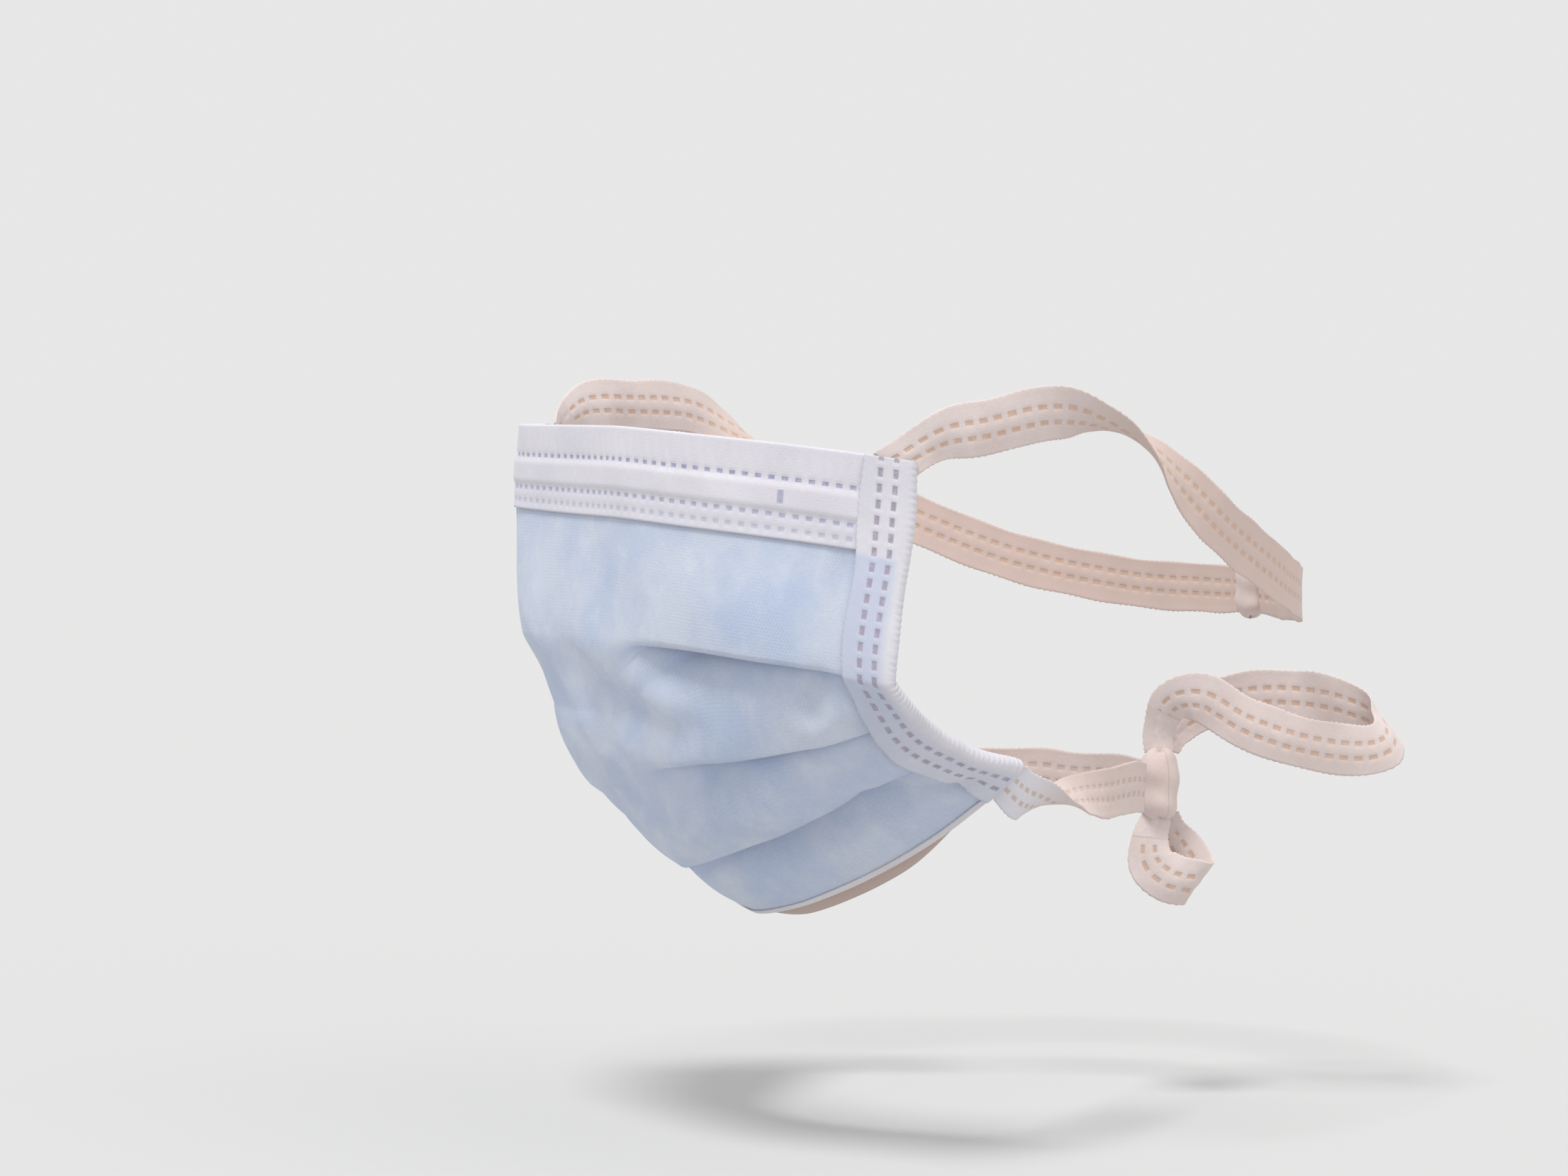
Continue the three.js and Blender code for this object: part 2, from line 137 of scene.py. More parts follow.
# ---- Tapes: x, y, z of the middle, the direction of the width as turn degrees round from +X and
# rise degrees up, and the share of its width that the tape keeps where it is crumpled ----
TOP_TIE = [
    (74, 46, -1, -90, 55, 0.9),
    (76, 57, 1, -90, 65, 1),
    (79, 70, 4, -75, 65, 1),
    (80, 80, 4, -40, 50, 1),
    (80, 91, 1, 5, 5, 0.95),
    (79, 101, -4, 10, -45, 0.9),
    (76, 113, -13, -60, -60, 1),
    (71, 129, -24, -90, -65, 1),
    (59, 154, -36, -90, -80, 1),
    (38, 176, -42, -90, -90, 1),
    (16, 186, -43, -90, -90, 1),
    (5, 188, -43, -90, -90, 0.9),
]
BOTTOM_TIE = [
    (59, 78, -86, 50, 70, 0.95),
    (54, 86, -88, 40, 40, 0.9),
    (49, 94, -89, 30, 0, 0.9),
    (42, 106, -89, 30, -50, 0.9),
    (32, 121, -90, 0, -80, 0.95),
    (22, 136, -90, -90, -85, 1),
    (17, 143, -91, -90, -90, 1),
]
FAR_BOTTOM_END = [
    (-5, 150, -91, -90, -90, 1),
    (7, 151, -91, -90, -90, 0.9),
]
FAR_DROOP = 9  # how much lower the far top tie runs beside the cheek
# The loops of the bow, measured from their knot.
LOOP_BACK = [
    (0, 0, 8, -120, 0, 0.55),
    (0, 0, 14, -120, 10, 0.6),
    (4, 1, 21, -120, 45, 0.85),
    (11, 6, 22, -120, 80, 1),
    (18, 14, 16, 60, 75, 1),
    (25, 27, 11, 60, 80, 1),
    (31, 40, 9, 60, 90, 1),
    (32, 48, 11, -120, 65, 1),
    (26, 50, 16, -120, 50, 1),
    (16, 40, 21, -120, 75, 1),
    (7, 26, 22, -120, 85, 1),
    (1, 14, 19, -120, 65, 0.9),
    (-3, 7, 13, -120, 25, 0.7),
    (-4, 5, 8, -120, 0, 0.55),
]
LOOP_DOWN = [
    (0, -1, -8, 60, 0, 0.55),
    (0, -3, -14, 60, 0, 0.75),
    (1, -3, -20, 60, 20, 0.95),
    (4, 1, -24, 60, 35, 1),
    (6, 7, -25, 60, 50, 1),
    (3, 9, -23, 60, 50, 0.95),
    (-1, 7, -17, 60, 35, 0.9),
    (-3, 5, -12, 60, 10, 0.7),
    (-3, 4, -8, 60, 0, 0.55),
]
TOP_KNOT = ((0, 188, -43), (4.2, 3.2, 7))
BOTTOM_KNOT = ((12, 151, -91), (4.2, 5, 9))
TOP_START = 0.1
BOTTOM_START = BOTTOM_ROW + 0.08


# ---- Numbers ----

def smooth(value):
    x = np.clip(value, 0, 1)
    return x * x * (3 - 2 * x)


def mix(a, b, share):
    return a + (b - a) * share


def unit(vectors):
    return vectors / np.maximum(np.linalg.norm(vectors, axis=-1, keepdims=True), 1e-9)


def spline(rows, place):
    """Smooth values between the rows of a table at each place, by a Catmull-Rom spline."""
    rows = np.asarray(rows, float)
    place = np.asarray(place, float)
    i = np.clip(np.floor(place).astype(int), 0, len(rows) - 2)
    f = (place - i)[..., None]
    padded = np.vstack([2 * rows[0] - rows[1], rows, 2 * rows[-1] - rows[-2]])
    a, b, c, d = (padded[i + k] for k in range(4))
    return 0.5 * (2 * b + (c - a) * f + (2 * a - 5 * b + 4 * c - d) * f ** 2
                  + (3 * b - a - 3 * c + d) * f ** 3)


def straight_between(rows, place):
    """Values on straight lines between the rows of a table."""
    rows = np.asarray(rows, float)
    i = np.clip(np.floor(place).astype(int), 0, len(rows) - 2)
    f = (np.asarray(place, float) - i)[..., None]
    return mix(rows[i], rows[i + 1], f)


# ---- The surface of the face ----

def face_points(across, down):
    """Points of the face, walked out from the middle line so that a row keeps its length."""
    across, down = np.broadcast_arrays(np.asarray(across, float), np.asarray(down, float))
    row = dict(zip(FACE_COLUMNS, np.moveaxis(spline(FACE, down), -1, 0)))
    straight = dict(zip(FACE_COLUMNS, np.moveaxis(straight_between(FACE, down), -1, 0)))
    for name in FACE_COLUMNS:
        if name.startswith(("left", "right")):
            row[name] = mix(row[name], straight[name], SIDE_CORNERS)
    right = across < 0
    end_z, cheek, bend, turn = (np.where(right, row["right" + name], row["left" + name])
                                for name in ("Z", "Cheek", "Bend", "Turn"))
    stride = np.abs(across) / STRIDES
    drop = end_z - row["midZ"]
    x = np.zeros(across.shape)
    y = row["midY"].copy()
    z = row["midZ"].copy()
    for i in range(STRIDES):
        next_z = row["midZ"] + drop * ((i + 1) * stride / HALF_WIDTH) ** row["fall"]
        run = np.sqrt(np.maximum(stride ** 2 - (next_z - z) ** 2, 0.2 * stride ** 2))
        turned = np.radians(cheek) * smooth(((i + 0.5) * stride - bend) / turn)
        x += np.cos(turned) * run
        y += np.sin(turned) * run
        z = next_z
    return np.stack([np.sign(across) * x, y, z], axis=-1)


def relief(across, down):
    """How far the worn cloth stands out of the smooth face, by the table of soft folds."""
    row_height = 25.0
    out = np.zeros(np.broadcast(across, down).shape)
    for s0, d0, s1, d1, above, below, height in RELIEF:
        run = np.array([s1 - s0, (d1 - d0) * row_height])
        length = np.hypot(*run)
        u = across - s0
        v = (down - d0) * row_height
        along = (u * run[0] + v * run[1]) / length
        side = (u * -run[1] + v * run[0]) / length
        if run[0] < 0:
            side = -side
        width = np.where(side < 0, above, below)
        beyond = np.maximum(np.maximum(-along, along - length), 0) / (0.5 * (above + below))
        out += height * np.exp(-(side / width) ** 2 - beyond ** 2)
    waves = ((0.11, 1.3, 0.4, 0.22), (0.19, -2.1, 1.9, 0.13), (0.31, 3.4, 4.0, 0.08),
             (-0.05, 2.6, 2.2, 0.2), (0.43, -5.2, 0.9, 0.05))
    for along_wave, down_wave, phase, height in waves:
        out = out + height * np.sin(along_wave * across + down_wave * down + phase)
    calm = smooth(down / 0.5) * smooth((BOTTOM_ROW + 0.1 - down) / 0.4)
    return out * (0.25 + 0.75 * calm)


def placed(across, down, out):
    """The face at across and down, moved out of the face by its relief and by out millimetres."""
    across, down, out = np.broadcast_arrays(
        np.asarray(across, float), np.asarray(down, float), np.asarray(out, float))
    d = 0.02
    sideways = face_points(across + 1, down) - face_points(across - 1, down)
    downwards = face_points(across, down + d) - face_points(across, down - d)
    outwards = unit(np.cross(downwards, sideways))
    return face_points(across, down) + outwards * (out + relief(across, down))[..., None]


def row_length(across, start, end):
    return np.linalg.norm(face_points(across, start) - face_points(across, end), axis=-1)


# ---- Meshes ----

def cloth_mesh(name, points, cloth, thickness):
    """A grid of points in millimetres as a thin closed wall.

    cloth gives each point's place in the cloth for the material: along and across it in
    millimetres, and the share of the material's second colour: what lies under the cloth showing
    through on the band and bindings, painted shade on the cover, lining, top ties and knots, and the
    paler start of the bottom ties.
    """
    rows, columns = points.shape[:2]
    mesh = bpy.data.meshes.new(name)
    index = np.arange(rows * columns).reshape(rows, columns)
    quads = np.stack([index[:-1, :-1], index[:-1, 1:], index[1:, 1:], index[1:, :-1]], axis=-1)
    mesh.from_pydata((points.reshape(-1, 3) * MM).tolist(), [], quads.reshape(-1, 4).tolist())
    layer = mesh.attributes.new("cloth", "FLOAT_VECTOR", "POINT")
    layer.data.foreach_set("vector", cloth.reshape(-1, 3).astype(np.float32).ravel())
    mesh.polygons.foreach_set("use_smooth", [True] * len(mesh.polygons))
    piece = bpy.data.objects.new(name, mesh)
    bpy.context.scene.collection.objects.link(piece)
    solid = piece.modifiers.new("thickness", "SOLIDIFY")
    solid.thickness = thickness * MM
    solid.offset = 0
    return piece


def cloth_places(along, across, under=0.0):
    return np.stack(np.broadcast_arrays(along, across, under), axis=-1).astype(float)


# ---- Materials ----

class Nodes:
    """Short calls for building a material's nodes."""

    def __init__(self, name):
        self.material = bpy.data.materials.new(name)
        self.material.use_nodes = True
        self.tree = self.material.node_tree
        self.tree.nodes.clear()

    def node(self, kind, **settings):
        made = self.tree.nodes.new(kind)
        for key, value in settings.items():
            setattr(made, key, value)
        return made

    def plug(self, socket, value):
        if isinstance(value, bpy.types.NodeSocket):
            self.tree.links.new(value, socket)
        else:
            socket.default_value = value

    def math(self, operation, *values):
        made = self.node("ShaderNodeMath", operation=operation)
        for socket, value in zip(made.inputs, values):
            self.plug(socket, value)
        return made.outputs[0]

    def vector(self, operation, *values):
        made = self.node("ShaderNodeVectorMath", operation=operation)
        for socket, value in zip(made.inputs, values):
            self.plug(socket, value)
        return made.outputs[0]

    def ramp(self, value, low, high):
        """0 below low and 1 above high, smooth between them."""
        made = self.node("ShaderNodeMapRange", interpolation_type="SMOOTHSTEP")
        self.plug(made.inputs["Value"], value)
        self.plug(made.inputs["From Min"], low)
        self.plug(made.inputs["From Max"], high)
        return made.outputs["Result"]

    def mix(self, share, a, b):
        made = self.node("ShaderNodeMix", data_type="RGBA")
        for socket, value in zip((made.inputs[0], made.inputs[6], made.inputs[7]), (share, a, b)):
            self.plug(socket, value)
        return made.outputs[2]

    def noise(self, vector, scale, detail=3.0, roughness=0.55):
        made = self.node("ShaderNodeTexNoise")
        self.plug(made.inputs["Vector"], vector)
        made.inputs["Scale"].default_value = scale
        made.inputs["Detail"].default_value = detail
        made.inputs["Roughness"].default_value = roughness
        return made.outputs["Fac"]


def srgb(red, green, blue):
    """A colour seen on screen, 0 to 255, as a linear one."""
    linear = [(c / 255) / 12.92 if c <= 10 else ((c / 255 + 0.055) / 1.055) ** 2.4
              for c in (red, green, blue)]
    return (*linear, 1.0)


def box_mark(n, u, v, pitch, start, row, half_u, half_v, soft):
    """1 inside each mark of a row of them along u, 0 elsewhere."""
    offset = n.math("SUBTRACT", u, start)
    near = n.math("PINGPONG", offset, pitch / 2)
    from_row = n.math("ABSOLUTE", n.math("SUBTRACT", v, row))
    inside_u = n.ramp(near, half_u + soft, half_u - soft)
    inside_v = n.ramp(from_row, half_v + soft, half_v - soft)
    return n.math("MULTIPLY", inside_u, inside_v)


def any_of(n, masks):
    total = masks[0]
    for mask in masks[1:]:
        total = n.math("MAXIMUM", total, mask)
    return total


def nonwoven(name, pale, deep, cloud_size=26, under=None, welds=None, weld_colour=None,
             bond_pitch=(0.84, 1.3), bond_depth=0.5, fibre_depth=0.5, sheen=0.15):
    """Spun-bonded cloth: cloudy colour, fine fibres, a lattice of bond points and weld marks, and a second
    colour mixed in by the cloth's third share, which on some materials is a painted shade.
    """
    n = Nodes(name)
    cloth = n.node("ShaderNodeAttribute", attribute_name="cloth").outputs["Vector"]
    split = n.node("ShaderNodeSeparateXYZ")
    n.plug(split.inputs[0], cloth)
    u, v, through = split.outputs
    flat = n.vector("MULTIPLY", cloth, (1.0, 1.0, 0.0))
    clouds = n.noise(flat, 1 / cloud_size, 4.0, 0.6)
    blotches = n.noise(n.vector("ADD", flat, (57.0, 31.0, 9.0)), 3.1 / cloud_size, 3.0, 0.6)
    fibres = n.noise(n.vector("MULTIPLY", flat, (0.55, 1.7, 1.0)), 1.5, 5.0, 0.7)
    colour = n.mix(n.ramp(clouds, 0.36, 0.66), pale, deep)
    paler = n.mix(0.5, pale, (1.0, 1.0, 1.0, 1.0))
    colour = n.mix(n.math("MULTIPLY", n.ramp(blotches, 0.5, 0.75), 0.16), colour, paler)
    shade = n.mix(1.0, colour, colour)
    dark = n.node("ShaderNodeMix", data_type="RGBA", blend_type="MULTIPLY")
    n.plug(dark.inputs[0], n.math("MULTIPLY", n.ramp(fibres, 0.62, 0.36), 0.16))
    n.plug(dark.inputs[6], shade)
    dark.inputs[7].default_value = (0.62, 0.64, 0.7, 1.0)
    colour = dark.outputs[2]
    # under is the second colour: show-through on the band and bindings, painted shade on the cover, lining,
    # top ties and knots, the paler start on the bottom ties
    if under is not None:
        colour = n.mix(through, colour, under)
    wave_u = n.math("COSINE", n.math("MULTIPLY", u, 2 * math.pi / bond_pitch[0]))
    wave_v = n.math("COSINE", n.math("MULTIPLY", v, 2 * math.pi / bond_pitch[1]))
    bond = n.ramp(n.math("MULTIPLY", wave_u, wave_v), 0.25, 0.75)
    patchy = n.ramp(n.noise(n.vector("ADD", flat, (11.0, 83.0, 2.0)), 1 / 17, 2.0), 0.4, 0.62)
    bond = n.math("MULTIPLY", bond, n.math("ADD", 0.25, n.math("MULTIPLY", patchy, 0.75)))
    shaded = n.node("ShaderNodeMix", data_type="RGBA", blend_type="MULTIPLY")
    n.plug(shaded.inputs[0], n.math("MULTIPLY", bond, bond_depth * 0.42))
    n.plug(shaded.inputs[6], colour)
    shaded.inputs[7].default_value = (0.66, 0.7, 0.8, 1.0)
    colour = shaded.outputs[2]
    height = n.math("SUBTRACT", n.math("MULTIPLY", fibres, fibre_depth),
                    n.math("MULTIPLY", bond, bond_depth))
    if welds is not None:
        mask = welds(n, u, v)
        worn = n.ramp(n.noise(flat, 0.9, 2.0), 0.25, 0.6)
        strength = n.math("MULTIPLY", mask, n.math("ADD", 0.55, n.math("MULTIPLY", worn, 0.45)))
        colour = n.mix(strength, colour, weld_colour)
        height = n.math("SUBTRACT", height, n.math("MULTIPLY", mask, 1.2))
    bump = n.node("ShaderNodeBump")
    bump.inputs["Strength"].default_value = 0.6
    bump.inputs["Distance"].default_value = 0.00012
    n.plug(bump.inputs["Height"], height)
    surface = n.node("ShaderNodeBsdfPrincipled")
    n.plug(surface.inputs["Base Color"], colour)
    n.plug(surface.inputs["Normal"], bump.outputs[0])
    surface.inputs["Roughness"].default_value = 0.82
    surface.inputs["Specular IOR Level"].default_value = 0.25
    surface.inputs["Sheen Weight"].default_value = sheen
    surface.inputs["Sheen Roughness"].default_value = 0.6
    output = n.node("ShaderNodeOutputMaterial")
    n.tree.links.new(surface.outputs[0], output.inputs["Surface"])
    return n.material


def band_welds(n, u, v):
    start = INSIDE_TAPE - 1.0
    marks = [box_mark(n, u, v, BAND_PITCH, start, row, *BAND_MARK, 0.16) for row in BAND_ROWS]
    wire_end = box_mark(n, u, v, 2 * WIRE_END, WIRE_END, WIRE_ROW, 0.75, 1.6, 0.2)
    faint = [n.math("MULTIPLY", mark, share) for mark, share in zip(marks, (1.0, 0.72, 0.42))]
    return any_of(n, [*faint, n.math("MULTIPLY", wire_end, 0.8)])


def tape_welds(n, u, v):
    return any_of(n, [box_mark(n, u, v, TAPE_PITCH, 0.0, row, *TAPE_MARK, 0.18) for row in TAPE_ROWS])


# ---- The cover ----

EDGE = HALF_WIDTH - 2.6
INSIDE_TAPE = HALF_WIDTH - TAPE - 0.9
BINDING_INSIDE = -2.25  # the lining lies no deeper than this under the binding
WIRE_END = 56.0
WIRE_ROW = 12.6


def pleat_share(row, across):
    """0 where a pleat is open, rising to 1 where it is shut, on either side of the middle line."""
    left = (across - row["leftOpen"]) / (row["leftShut"] - row["leftOpen"])
    right = (-across - row["rightOpen"]) / (row["rightShut"] - row["rightOpen"])
    return smooth(np.maximum(left, right))


def closure(pleat, across):
    """How far a pleat is closed at across, from 0, opened flat, to 1, closed."""
    row = dict(zip(PLEAT_COLUMNS, pleat))
    return mix(row["least"], 1, pleat_share(row, across))


def gape(pleat, across):
    """How much deeper than its closed layers a gaping pleat reaches into the mask."""
    row = dict(zip(PLEAT_COLUMNS, pleat))
    start = np.where(across > 0, row["leftOpen"], row["rightOpen"]) * (1 - row["least"])
    reach = np.clip((np.abs(across) - start) / (EDGE - GAPE_END - start), 0, 1)
    return closure(pleat, across) * (1 + row["lift"] * np.sin(math.pi * reach ** 0.75))


def lip_row(pleat, across):
    row = dict(zip(PLEAT_COLUMNS, pleat))
    return row["row"] - row["raised"] - row["edge"] * smooth((np.abs(across) - 30) / 45)


def fold_profile(pleat, across, steps=30):
    """down, out and flat place of one pleat's folded cloth, a row for each value of across."""
    along, out, flat = np.moveaxis(spline(FOLD, np.linspace(0, len(FOLD) - 1, steps)), -1, 0)
    shut = closure(pleat, across)[:, None]
    lip = lip_row(pleat, across)[:, None]
    above = row_length(across, pleat[0] - 1, pleat[0])[:, None]
    below = row_length(across, pleat[0], pleat[0] + 1)[:, None]
    place = mix(flat[None, :], along[None, :], shut)
    down = lip + np.where(place < 0, place / above, place / below)
    opened = -OPEN_DEPTH * LAYER * smooth((flat + BEND) / (PLEAT + 2))
    depth = mix(opened[None, :], out[None, :] * gape(pleat, across)[:, None], shut)
    return down, depth, np.broadcast_to(flat, down.shape)


def cover_profile(across):
    """down and out of the cover from top to bottom, its place in the cloth, and its share of painted
    shade under the lip above."""
    flat_rows = (49, 86, 121)
    downs, outs, places, painted_lip_shade = [], [], [], []
    start_down = np.full(len(across), 0.07)
    start_out = np.zeros(len(across))
    start_place = 1.5
    for pleat, flat_row in zip(PLEATS, flat_rows):
        down, out, flat = fold_profile(pleat, across)
        steps = 46 if pleat is PLEATS[0] else 30
        share = np.linspace(0, 1, steps, endpoint=False)[None, len(downs) > 0:]
        downs.append(mix(start_down[:, None], down[:, :1], share))
        outs.append(start_out[:, None] * (1 - share) ** 2)
        places.append(np.broadcast_to(mix(start_place, flat_row - 0.4, share), downs[-1].shape))
        # The painted shade from the lip above fades out down the panel below it.
        painted_lip_shade.append(painted_lip_shade[-1][:, -1:] * (1 - share) ** 6 if painted_lip_shade else 0 * downs[-1])
        downs.append(down)
        outs.append(out)
        places.append(flat_row + flat)
        # Painted shade under each lip: a deeper blue on the folded layers and just beneath the lip,
        # strongest where the pleat is shut.
        painted_lip_shade.append(closure(pleat, across)[:, None] * smooth(flat / 3) * mix(1, 0.4, smooth(flat / 16)))
        start_down, start_out, start_place = down[:, -1], out[:, -1], flat_row + PLEAT + 8
    share = np.linspace(0, 1, 40)[None, 1:]
    downs.append(mix(start_down[:, None], BOTTOM_ROW - 0.01, share))
    outs.append(start_out[:, None] * (1 - share) ** 2)
    places.append(np.broadcast_to(mix(start_place, FLAT_HEIGHT, share), downs[-1].shape))
    painted_lip_shade.append(painted_lip_shade[-1][:, -1:] * (1 - share) ** 6)
    return np.hstack(downs), np.hstack(outs), np.hstack(places), np.hstack(painted_lip_shade)


def outer_cover():
    across = np.linspace(-EDGE, EDGE, 156)
    down, out, place, painted_lip_shade = cover_profile(across)
    points = placed(across[:, None], down, out)
    return cloth_mesh("mask_cover", points, cloth_places(across[:, None], place, painted_lip_shade), PLY)


# ---- The lining, with the same pleats seen from inside ----

def lining_profile(across):
    """down and out of the lining: behind each pleat it folds over the underlap's edge."""
    air = -(LAYER + 0.8)
    end = BOTTOM_ROW + 0.05 + 0.2 * smooth((across + 10) / 25) * smooth((72 - across) / 30)
    lip_shape = [(1.0, 0.0), (0.9, 0.12), (0.1, 0.3), (-0.25, 0.62), (0.1, 0.95), (0.6, 1.0)]
    lip_along, lip_depth = spline(lip_shape, np.linspace(0, len(lip_shape) - 1, 14)).T
    ease = np.linspace(0, 1, 16, endpoint=False)
    here = np.full(len(across), (BAND_BACK - 3) / BAND_DEPTH)
    depth = np.zeros(len(across))
    downs, outs = [], []
    for pleat in PLEATS:
        shut = closure(pleat, across)
        above = row_length(across, pleat[0] - 1, pleat[0])
        below = row_length(across, pleat[0], pleat[0] + 1)
        edge = lip_row(pleat, across) - shut * PLEAT / above
        hidden = edge + 2.2 * shut / above
        downs.append(mix(here[:, None], hidden[:, None], ease))
        outs.append(depth[:, None] * (1 - ease) ** 2)
        depth = -2.1 * LAYER * gape(pleat, across)
        downs.append(edge[:, None] + (hidden - edge)[:, None] * lip_along)
        outs.append(depth[:, None] * lip_depth)
        here = lip_row(pleat, across) + mix(PLEAT + 8, 0.5, shut) / below
        held = np.linspace(0, 1, 9, endpoint=False)[1:]
        downs.append(mix(downs[-1][:, -1:], here[:, None], held))
        outs.append(depth[:, None] + 0 * held)
    last = np.linspace(0, 1, 34)
    downs.append(mix(here[:, None], end[:, None], last))
    outs.append(depth[:, None] * (1 - last) ** 2)
    out = np.hstack(outs) + air
    held_in = smooth((np.abs(across) - INSIDE_TAPE + 3) / 3)[:, None]
    return np.hstack(downs), mix(out, np.maximum(out, BINDING_INSIDE), held_in)


def inner_lining():
    across = np.linspace(-INSIDE_TAPE - 4, INSIDE_TAPE + 4, 130)
    down, out = lining_profile(across)
    points = placed(across[:, None], down, out)
    # The lowest strip of the lining takes the material's second colour, a warm brown: painted warm shade
    # under the bottom edge.
    cloth = cloth_places(across[:, None], down * FLAT_HEIGHT / BOTTOM_ROW,
                         smooth((down - BOTTOM_ROW + 0.12) / 0.1))
    return cloth_mesh("mask_lining", points, cloth, PLY)


# ---- Band and hem ----

def weld_dent(along, across, pitch, start, rows, depth, half=(1.0, 0.8)):
    """How far cloth is pressed in at its weld marks, in millimetres out of the face."""
    near = np.abs((along - start + pitch / 2) % pitch - pitch / 2)
    out = np.zeros(np.broadcast(along, across).shape)
    for row in rows:
        out -= depth * np.exp(-(near / half[0]) ** 4 - ((across - row) / half[1]) ** 4)
        out -= 0.35 * depth * np.exp(-((across - row) / 1.6) ** 2)
    return out


def top_band():
    across = np.linspace(-INSIDE_TAPE - 3, INSIDE_TAPE + 3, 280)
    front = np.linspace(BAND_DEPTH, 0.5, 46)
    ridge = smooth((front - CHANNEL_FROM) / 1.6) * smooth((CHANNEL_TO - front) / 1.6)
    front_out = BAND_OUT + CHANNEL_HEIGHT * ridge
    turn = np.radians(np.linspace(80, -80, 9))
    back = np.linspace(0.5, BAND_BACK, 14)
    depth = np.concatenate([front, 0.5 - BAND_OUT * 0.8 * np.cos(turn), back])
    out = np.concatenate([front_out, BAND_OUT * np.sin(turn), np.full(len(back), -BAND_OUT)])
    place = np.concatenate([front, np.zeros(len(turn)), -back])
    dents = weld_dent(across[:, None], place[None, :], BAND_PITCH, INSIDE_TAPE - 1, BAND_ROWS, 0.22)
    gathers = 0.1 * np.sin(across[:, None] * 2 * math.pi / BAND_PITCH) * np.exp(
        -((place[None, :] - 5.5) / 3) ** 2)
    points = placed(across[:, None], depth[None, :] / BAND_DEPTH, out[None, :] + dents + gathers)
    under = 0.18 * smooth((place - CHANNEL_TO + 1) / 2)
    cloth = cloth_places(across[:, None], place[None, :], under[None, :])
    return cloth_mesh("mask_band", points, cloth, PLY)


def bottom_hem():
    across = np.linspace(-INSIDE_TAPE - 2, INSIDE_TAPE + 2, 150)
    length = row_length(across, BOTTOM_ROW - 1, BOTTOM_ROW)[:, None]
    turn = np.radians(np.linspace(90, -90, 9))
    radius = 0.45
    along = np.concatenate([np.linspace(-HEM_FRONT, 0, 4)[:-1], radius * np.cos(turn),
                            np.linspace(0, -HEM_BACK, 6)[1:]])
    out = np.concatenate([np.full(3, radius), radius * np.sin(turn), np.full(5, -radius)])
    points = placed(across[:, None], BOTTOM_ROW + along[None, :] / length, out[None, :])
    cloth = cloth_places(across[:, None], FLAT_HEIGHT + along[None, :])
    return cloth_mesh("mask_hem", points, cloth, PLY)


# ---- Bindings ----

def binding(name, side):
    """The tape folded over a side edge: front face, the fold and the back face."""
    inner = HALF_WIDTH - TAPE
    down = np.linspace(0, BOTTOM_ROW, 300)
    middle = 0.5 * (TAPE_OUT - 3 * LAYER - 0.3)
    radius = TAPE_OUT - middle
    front = np.linspace(inner, HALF_WIDTH - radius, 20)
    turn = np.radians(np.linspace(75, -75, 9))
    across = np.concatenate([front, HALF_WIDTH - radius + radius * np.cos(turn), front[::-1]])
    out = np.concatenate([np.full(len(front), TAPE_OUT), middle + radius * np.sin(turn),
                          np.full(len(front), middle - radius)])
    place = np.concatenate([front - inner, np.full(len(turn), TAPE), TAPE + front[::-1] - inner])
    along = np.concatenate([[0], np.cumsum(np.linalg.norm(np.diff(
        face_points(side * (inner + 4), down), axis=0), axis=1))])
    place = place[None, :] - TAPE / 2
    dents = weld_dent(along[:, None], place, TAPE_PITCH, 0, TAPE_ROWS, 0.25, (1.25, 0.8))
    edge = np.exp(-((place + TAPE / 2) / 1.2) ** 2) - np.exp(-((across[None, :] - HALF_WIDTH) / 1) ** 2)
    wander = 0.16 * np.sin(along * 6.1) * np.sin(along * 2.3 + 1) + 0.3 * np.sin(along * 0.21 + 2)
    inset = across[None, :] + wander[:, None] * edge
    points = placed(side * inset, down[:, None], out[None, :] + dents)
    shows = smooth((down - 1.0) / 0.06) * (1 - 0.45 * smooth((down - 2.3) / 1.2))
    shows = shows[:, None] * smooth((TAPE - 1 - place - TAPE / 2) / 3)
    cloth = cloth_places(along[:, None], place, 0.55 * shows)
    return cloth_mesh(name, points, cloth, TAPE_PLY)


# ---- Ties, loops and knots ----

def tie_start(side, down, inner_edge_first):
    """The first station of a tie, on the end of the binding."""
    middle_out = -1.3
    inner = placed(side * (HALF_WIDTH - TAPE + 1), down, middle_out)
    outer = placed(side * (HALF_WIDTH - 1), down, middle_out)
    half = (inner - outer) * (0.5 if inner_edge_first else -0.5)
    return np.concatenate([(inner + outer) / 2, half])


def route(rows, origin=(0, 0, 0)):
    """Stations of a tape: its middle, and half of its width as a vector."""
    rows = np.asarray(rows, float)
    turn, rise = np.radians(rows[:, 3]), np.radians(rows[:, 4])
    facing = np.stack([np.cos(rise) * np.cos(turn), np.cos(rise) * np.sin(turn), np.sin(rise)], axis=1)
    return np.hstack([rows[:, :3] + origin, facing * rows[:, 5:] * TAPE / 2])


def mirrored(stations):
    return np.asarray(stations, float) * (-1, 1, 1, -1, 1, 1)


def far_tie(start, near_start, stations, droop=0):
    """The right tie is the left one mirrored, led over to its own corner by its first five."""
    shift = start[:3] - near_start[:3] * (-1, 1, 1)
    led = mirrored(stations)
    number = np.arange(len(led))
    led[:, :3] += shift * (1 - smooth((number + 1) / 5))[:, None]
    led[:, 2] -= droop * smooth((number - 1) / 3) * (1 - smooth((number - 4) / 4))
    return np.vstack([start, led])


